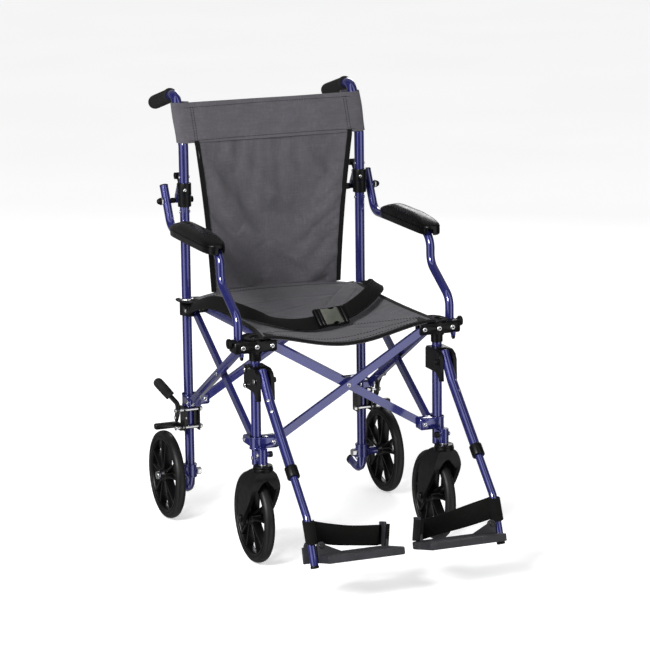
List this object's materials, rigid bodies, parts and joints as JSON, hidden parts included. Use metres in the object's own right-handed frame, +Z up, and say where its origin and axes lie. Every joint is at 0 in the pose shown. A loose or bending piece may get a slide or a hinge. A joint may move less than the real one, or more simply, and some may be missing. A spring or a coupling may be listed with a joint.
{
  "type": "transport wheelchair",
  "caption": "Folding transport wheelchair with sling seat and back, flip-up footplates, swing armrests, swivel casters and rear wheels with hand brakes, on a scissor frame.",
  "frame": {"origin": "on the floor, at the middle of the chair's footprint; the rear posts and rear axles stand 0.305 m behind it", "axes": "+Z up, -Y the way the chair faces, +X the sitter's left; the rear wheel axles and arm pins lie along X"},
  "size_m": [0.5938, 1.0099, 0.9813],
  "materials": {
    "blue_paint": "metallic gloss",
    "black_plastic": "fine texture",
    "black_steel": "satin black",
    "foam_grip": "matt foam",
    "tyre_rubber": "matt",
    "grey_plastic": "fine texture",
    "grey_fabric": "plain weave",
    "black_webbing": "webbing"
  },
  "bodies": {
    "right_rear_post": {"right_rear_post": "blue_paint", "right_back_joint": "black_plastic", "right_brake_bracket": "black_steel", "seat_sling": "grey_fabric", "lap_belt": "black_webbing", "belt_buckle": "black_plastic"},
    "left_rear_post": {"left_rear_post": "blue_paint", "left_back_joint": "black_plastic", "left_brake_bracket": "black_steel"},
    "rear_bar_1": {"rear_bar_1": "blue_paint"},
    "rear_bar_2": {"rear_bar_2": "blue_paint"},
    "front_bar_1": {"front_bar_1": "blue_paint"},
    "front_bar_2": {"front_bar_2": "blue_paint"},
    "right_bar_1": {"right_bar_1": "blue_paint"},
    "right_bar_2": {"right_bar_2": "blue_paint"},
    "right_rear_hub": {"right_rear_hub": "black_plastic"},
    "right_front_hub": {"right_front_hub": "black_plastic"},
    "right_front_leg": {"right_front_leg": "blue_paint", "right_footrest_clamp": "black_plastic"},
    "right_release_knob": {"right_release_knob": "black_plastic"},
    "right_cane": {"right_cane": "blue_paint", "right_grip": "foam_grip", "back_sling": "grey_fabric"},
    "right_back_latch": {"right_back_latch": "black_plastic"},
    "right_arm": {"right_arm_tube": "blue_paint", "right_arm_pad": "black_plastic"},
    "right_rear_wheel": {"right_rear_rim": "black_plastic", "right_rear_tyre": "tyre_rubber"},
    "right_brake_lever": {"right_brake_lever": "black_plastic"},
    "right_brake_shoe": {"right_brake_shoe": "black_steel"},
    "right_caster_fork": {"right_caster_fork": "black_plastic"},
    "right_caster_wheel": {"right_caster_rim": "black_plastic", "right_caster_tyre": "tyre_rubber"},
    "right_footrest": {"right_footrest_tube": "blue_paint"},
    "right_footrest_extension": {"right_footrest_extension": "blue_paint", "right_heel_strap": "black_webbing"},
    "right_footplate": {"right_footplate": "grey_plastic"},
    "left_bar_1": {"left_bar_1": "blue_paint"},
    "left_bar_2": {"left_bar_2": "blue_paint"},
    "left_rear_hub": {"left_rear_hub": "black_plastic"},
    "left_front_hub": {"left_front_hub": "black_plastic"},
    "left_front_leg": {"left_front_leg": "blue_paint", "left_footrest_clamp": "black_plastic"},
    "left_release_knob": {"left_release_knob": "black_plastic"},
    "left_cane": {"left_cane": "blue_paint", "left_grip": "foam_grip"},
    "left_back_latch": {"left_back_latch": "black_plastic"},
    "left_arm": {"left_arm_tube": "blue_paint", "left_arm_pad": "black_plastic"},
    "left_rear_wheel": {"left_rear_rim": "black_plastic", "left_rear_tyre": "tyre_rubber"},
    "left_brake_lever": {"left_brake_lever": "black_plastic"},
    "left_brake_shoe": {"left_brake_shoe": "black_steel"},
    "left_caster_fork": {"left_caster_fork": "black_plastic"},
    "left_caster_wheel": {"left_caster_rim": "black_plastic", "left_caster_tyre": "tyre_rubber"},
    "left_footrest": {"left_footrest_tube": "blue_paint"},
    "left_footrest_extension": {"left_footrest_extension": "blue_paint", "left_heel_strap": "black_webbing"},
    "left_footplate": {"left_footplate": "grey_plastic"}
  },
  "joints": [
    {"name": "fold", "type": "hinge", "parent": "right_rear_post", "child": "rear_bar_1", "pos_m": [-0.18, 0.305, 0.274], "axis": [0, -1, 0], "range_deg": [0, 48], "deforming": ["seat_sling", "lap_belt", "belt_buckle", "back_sling"]},
    {"name": "rear_cross", "type": "hinge", "parent": "rear_bar_1", "child": "rear_bar_2", "pos_m": [0, 0.305, 0.3815], "axis": [0, -1, 0], "range_deg": [-96, 0]},
    {"name": "left_rear_low", "type": "hinge", "parent": "rear_bar_2", "child": "left_rear_post", "pos_m": [0.18, 0.305, 0.274], "axis": [0, -1, 0], "range_deg": [0, 48]},
    {"name": "right_rear_high", "type": "hinge", "parent": "rear_bar_2", "child": "right_rear_hub", "pos_m": [-0.18, 0.305, 0.489], "axis": [0, -1, 0], "range_deg": [0, 48]},
    {"name": "left_rear_high", "type": "hinge", "parent": "rear_bar_1", "child": "left_rear_hub", "pos_m": [0.18, 0.305, 0.489], "axis": [0, -1, 0], "range_deg": [-48, 0]},
    {"name": "right_side_low", "type": "hinge", "parent": "right_rear_post", "child": "right_bar_1", "pos_m": [-0.215, 0.27, 0.274], "axis": [-1, 0, 0], "range_deg": [0, 48]},
    {"name": "right_side_cross", "type": "hinge", "parent": "right_bar_1", "child": "right_bar_2", "pos_m": [-0.215, 0.09, 0.3815], "axis": [-1, 0, 0], "range_deg": [-96, 0]},
    {"name": "right_front_low", "type": "hinge", "parent": "right_bar_2", "child": "right_front_leg", "pos_m": [-0.215, -0.09, 0.274], "axis": [-1, 0, 0], "range_deg": [0, 48]},
    {"name": "right_front_high", "type": "hinge", "parent": "right_bar_1", "child": "right_front_hub", "pos_m": [-0.215, -0.09, 0.489], "axis": [-1, 0, 0], "range_deg": [-48, 0]},
    {"name": "left_side_low", "type": "hinge", "parent": "left_rear_post", "child": "left_bar_1", "pos_m": [0.215, 0.27, 0.274], "axis": [-1, 0, 0], "range_deg": [0, 48]},
    {"name": "left_side_cross", "type": "hinge", "parent": "left_bar_1", "child": "left_bar_2", "pos_m": [0.215, 0.09, 0.3815], "axis": [-1, 0, 0], "range_deg": [-96, 0]},
    {"name": "left_front_low", "type": "hinge", "parent": "left_bar_2", "child": "left_front_leg", "pos_m": [0.215, -0.09, 0.274], "axis": [-1, 0, 0], "range_deg": [0, 48]},
    {"name": "left_front_high", "type": "hinge", "parent": "left_bar_1", "child": "left_front_hub", "pos_m": [0.215, -0.09, 0.489], "axis": [-1, 0, 0], "range_deg": [-48, 0]},
    {"name": "front_low", "type": "hinge", "parent": "right_front_leg", "child": "front_bar_1", "pos_m": [-0.18, -0.125, 0.274], "axis": [0, -1, 0], "range_deg": [0, 48]},
    {"name": "front_cross", "type": "hinge", "parent": "front_bar_1", "child": "front_bar_2", "pos_m": [0, -0.125, 0.3815], "axis": [0, -1, 0], "range_deg": [-96, 0]},
    {"name": "right_arm_swing", "type": "hinge", "parent": "right_rear_post", "child": "right_arm", "pos_m": [-0.25, 0.3265, 0.7345], "axis": [-1, 0, 0], "range_deg": [0, 91.2]},
    {"name": "back_fold", "type": "hinge", "parent": "right_rear_post", "child": "right_cane", "pos_m": [-0.215, 0.3265, 0.7345], "axis": [-1, 0, 0], "range_deg": [0, 120]},
    {"name": "right_latch_press", "type": "hinge", "parent": "right_cane", "child": "right_back_latch", "pos_m": [-0.215, 0.3285, 0.768], "axis": [-1, 0, 0], "range_deg": [0, 15]},
    {"name": "right_rear_wheel_spin", "type": "hinge", "parent": "right_rear_post", "child": "right_rear_wheel", "pos_m": [-0.2713, 0.305, 0.1016], "axis": [1, 0, 0], "continuous": true},
    {"name": "right_brake_lever_turn", "type": "hinge", "parent": "right_rear_post", "child": "right_brake_lever", "pos_m": [-0.248, 0.2875, 0.2535], "axis": [-1, 0, 0], "range_deg": [0, 35]},
    {"name": "right_brake_shoe_turn", "type": "hinge", "parent": "right_rear_post", "child": "right_brake_shoe", "pos_m": [-0.2405, 0.2875, 0.2125], "axis": [-1, 0, 0], "range_deg": [0, 8.4]},
    {"name": "right_release_pull", "type": "slide", "parent": "right_front_hub", "child": "right_release_knob", "axis": [-1, 0, 0], "range_m": [0, 0.004]},
    {"name": "right_caster_swivel", "type": "hinge", "parent": "right_front_leg", "child": "right_caster_fork", "pos_m": [-0.215, -0.1615, 0.232], "axis": [0, 0, 1], "continuous": true},
    {"name": "right_caster_spin", "type": "hinge", "parent": "right_caster_fork", "child": "right_caster_wheel", "pos_m": [-0.215, -0.1055, 0.1016], "axis": [1, 0, 0], "continuous": true},
    {"name": "right_footrest_swing", "type": "hinge", "parent": "right_front_leg", "child": "right_footrest", "pos_m": [-0.215, -0.1735, 0.422], "axis": [-1, 0, 0], "range_deg": [0, 90]},
    {"name": "right_footrest_length", "type": "slide", "parent": "right_footrest", "child": "right_footrest_extension", "axis": [0, -0.7103, -0.7039], "range_m": [-0.05, 0.04]},
    {"name": "right_footplate_flip", "type": "hinge", "parent": "right_footrest_extension", "child": "right_footplate", "pos_m": [-0.215, -0.4365, 0.1235], "axis": [0, -0.9703, 0.2419], "range_deg": [0, 93.6], "deforming": ["right_heel_strap"]},
    {"name": "left_arm_swing", "type": "hinge", "parent": "left_rear_post", "child": "left_arm", "pos_m": [0.25, 0.3265, 0.7345], "axis": [-1, 0, 0], "range_deg": [0, 91.2]},
    {"name": "left_back_fold", "type": "hinge", "parent": "left_rear_post", "child": "left_cane", "pos_m": [0.215, 0.3265, 0.7345], "axis": [-1, 0, 0], "range_deg": [0, 120]},
    {"name": "left_latch_press", "type": "hinge", "parent": "left_cane", "child": "left_back_latch", "pos_m": [0.215, 0.3285, 0.768], "axis": [-1, 0, 0], "range_deg": [0, 15]},
    {"name": "left_rear_wheel_spin", "type": "hinge", "parent": "left_rear_post", "child": "left_rear_wheel", "pos_m": [0.2713, 0.305, 0.1016], "axis": [1, 0, 0], "continuous": true},
    {"name": "left_brake_lever_turn", "type": "hinge", "parent": "left_rear_post", "child": "left_brake_lever", "pos_m": [0.248, 0.2875, 0.2535], "axis": [-1, 0, 0], "range_deg": [0, 35]},
    {"name": "left_brake_shoe_turn", "type": "hinge", "parent": "left_rear_post", "child": "left_brake_shoe", "pos_m": [0.2405, 0.2875, 0.2125], "axis": [-1, 0, 0], "range_deg": [0, 8.4]},
    {"name": "left_release_pull", "type": "slide", "parent": "left_front_hub", "child": "left_release_knob", "axis": [1, 0, 0], "range_m": [0, 0.004]},
    {"name": "left_caster_swivel", "type": "hinge", "parent": "left_front_leg", "child": "left_caster_fork", "pos_m": [0.215, -0.1615, 0.232], "axis": [0, 0, 1], "continuous": true},
    {"name": "left_caster_spin", "type": "hinge", "parent": "left_caster_fork", "child": "left_caster_wheel", "pos_m": [0.215, -0.1055, 0.1016], "axis": [1, 0, 0], "continuous": true},
    {"name": "left_footrest_swing", "type": "hinge", "parent": "left_front_leg", "child": "left_footrest", "pos_m": [0.215, -0.1735, 0.422], "axis": [-1, 0, 0], "range_deg": [0, 90]},
    {"name": "left_footrest_length", "type": "slide", "parent": "left_footrest", "child": "left_footrest_extension", "axis": [0, -0.7103, -0.7039], "range_m": [-0.05, 0.04]},
    {"name": "left_footplate_flip", "type": "hinge", "parent": "left_footrest_extension", "child": "left_footplate", "pos_m": [0.215, -0.4365, 0.1235], "axis": [0, 0.9703, -0.2419], "range_deg": [0, 93.6], "deforming": ["left_heel_strap"]}
  ],
  "couplings": [
    {"joint": "rear_cross", "follows": "fold", "ratio": -2},
    {"joint": "left_rear_low", "follows": "fold", "ratio": 1},
    {"joint": "right_rear_high", "follows": "fold", "ratio": 1},
    {"joint": "left_rear_high", "follows": "fold", "ratio": -1},
    {"joint": "right_side_low", "follows": "fold", "ratio": 1},
    {"joint": "right_side_cross", "follows": "fold", "ratio": -2},
    {"joint": "right_front_low", "follows": "fold", "ratio": 1},
    {"joint": "right_front_high", "follows": "fold", "ratio": -1},
    {"joint": "left_side_low", "follows": "fold", "ratio": 1},
    {"joint": "left_side_cross", "follows": "fold", "ratio": -2},
    {"joint": "left_front_low", "follows": "fold", "ratio": 1},
    {"joint": "left_front_high", "follows": "fold", "ratio": -1},
    {"joint": "front_low", "follows": "fold", "ratio": 1},
    {"joint": "front_cross", "follows": "fold", "ratio": -2},
    {"joint": "right_arm_swing", "follows": "fold", "ratio": 1.9},
    {"joint": "right_brake_shoe_turn", "follows": "right_brake_lever_turn", "ratio": 0.24},
    {"joint": "right_footplate_flip", "follows": "fold", "ratio": 1.95},
    {"joint": "left_arm_swing", "follows": "fold", "ratio": 1.9},
    {"joint": "left_back_fold", "follows": "back_fold", "ratio": 1},
    {"joint": "left_brake_shoe_turn", "follows": "left_brake_lever_turn", "ratio": 0.24},
    {"joint": "left_footplate_flip", "follows": "fold", "ratio": 1.95}
  ]
}
